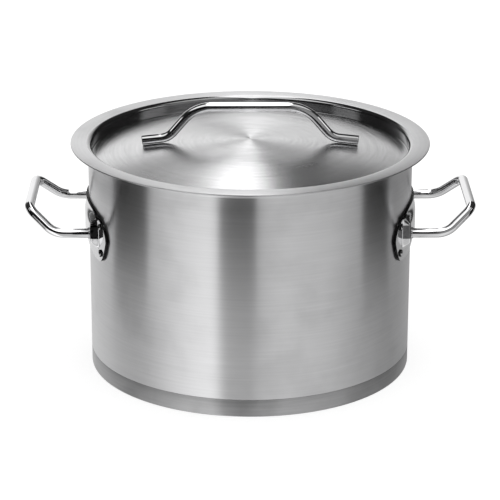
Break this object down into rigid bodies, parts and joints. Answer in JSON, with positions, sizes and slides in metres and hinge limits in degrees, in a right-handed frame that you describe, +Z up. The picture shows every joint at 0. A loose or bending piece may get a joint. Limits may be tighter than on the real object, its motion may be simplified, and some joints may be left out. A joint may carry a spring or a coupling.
{
  "type": "catering pot with lid",
  "caption": "Round stainless cooking pot with two upswept tube handles on riveted saddle plates, a layered base and a sunken domed lid with a tube handle.",
  "frame": {"origin": "centre of the base, on the surface the pot stands on", "axes": "+X through the right side handle, +Z up along the pot's axis, +Y away from the side first seen"},
  "size_m": [0.3862, 0.3096, 0.2334],
  "materials": {
    "brushed_body": "fine grain brushed round the body",
    "base_band": "coarser turned band",
    "aluminium_core": "plain, hidden",
    "polished_plate": "polished",
    "polished_tube": "mirror polished",
    "rivet_steel": "polished",
    "spun_lid": "spun in fine circles"
  },
  "bodies": {
    "pot": {"pot_shell": "brushed_body", "base_cap": "base_band", "base_core": "aluminium_core", "bracket_left": "polished_plate", "bracket_right": "polished_plate", "handle_left": "polished_tube", "handle_right": "polished_tube", "rivet_left_1": "rivet_steel", "rivet_left_2": "rivet_steel", "rivet_left_3": "rivet_steel", "rivet_left_4": "rivet_steel", "rivet_right_1": "rivet_steel", "rivet_right_2": "rivet_steel", "rivet_right_3": "rivet_steel", "rivet_right_4": "rivet_steel"},
    "lid": {"lid_pan": "spun_lid", "lid_handle": "polished_tube"}
  },
  "joints": [
    {"name": "lid_lift", "type": "slide", "parent": "pot", "child": "lid", "axis": [0, 0, 1], "range_m": [0, 0.25]}
  ]
}
